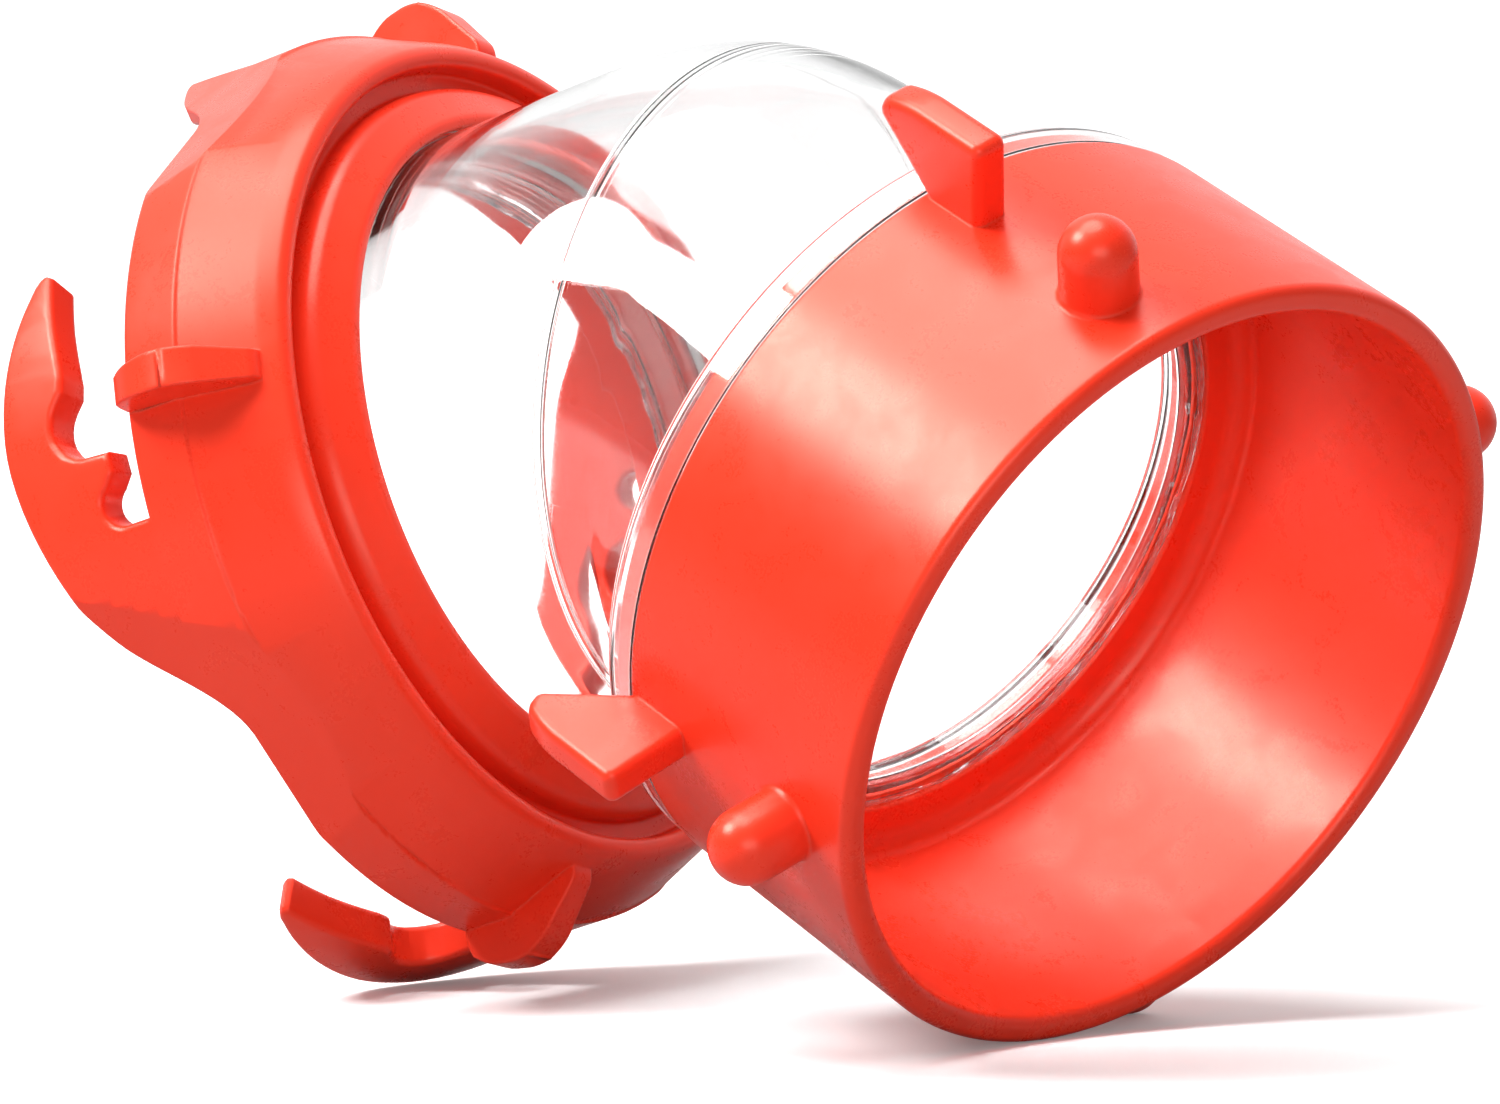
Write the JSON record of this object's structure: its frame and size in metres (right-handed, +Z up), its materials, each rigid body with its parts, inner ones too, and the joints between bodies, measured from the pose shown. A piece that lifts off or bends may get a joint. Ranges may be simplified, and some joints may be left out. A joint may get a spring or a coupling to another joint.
{
  "type": "swivel hose adapter",
  "caption": "45 degree drain hose adapter: clear elbow with a turning bayonet hook ring on one end and a turning lug collar on the other, both orange-red plastic",
  "frame": {"origin": "middle of the adapter's footprint on the floor, as it lies on its collar rim and hook ring", "axes": "+Z up from the floor; +X level, from the hook ring's end towards the collar's mouth; +Y level, across the bend"},
  "size_m": [0.1716, 0.1216, 0.1202],
  "materials": {
    "clear_body": "clear moulded plastic, glossy",
    "clear_ring": "clear moulded plastic with weld flash",
    "orange_red": "satin gloss moulded plastic",
    "black_rubber": "matte rubber",
    "pale_silicone": "matte silicone"
  },
  "bodies": {
    "elbow": {"elbow_body": "clear_body", "collar_retaining_ring": "clear_ring", "hook_retaining_ring": "clear_ring"},
    "hooks": {"hook_ring": "orange_red", "hook_face_seal": "black_rubber", "hook_swivel_seal": "pale_silicone"},
    "collar": {"lug_collar": "orange_red", "collar_swivel_seal": "pale_silicone"}
  },
  "joints": [
    {"name": "hook_ring_swivel", "type": "hinge", "parent": "elbow", "child": "hooks", "pos_m": [-0.00204, 0.00471, 0.07515], "axis": [-0.9441, -0.109, -0.3112], "continuous": true},
    {"name": "lug_collar_swivel", "type": "hinge", "parent": "elbow", "child": "collar", "pos_m": [-0.00204, 0.00471, 0.07515], "axis": [0.9004, -0.109, -0.4212], "continuous": true}
  ]
}
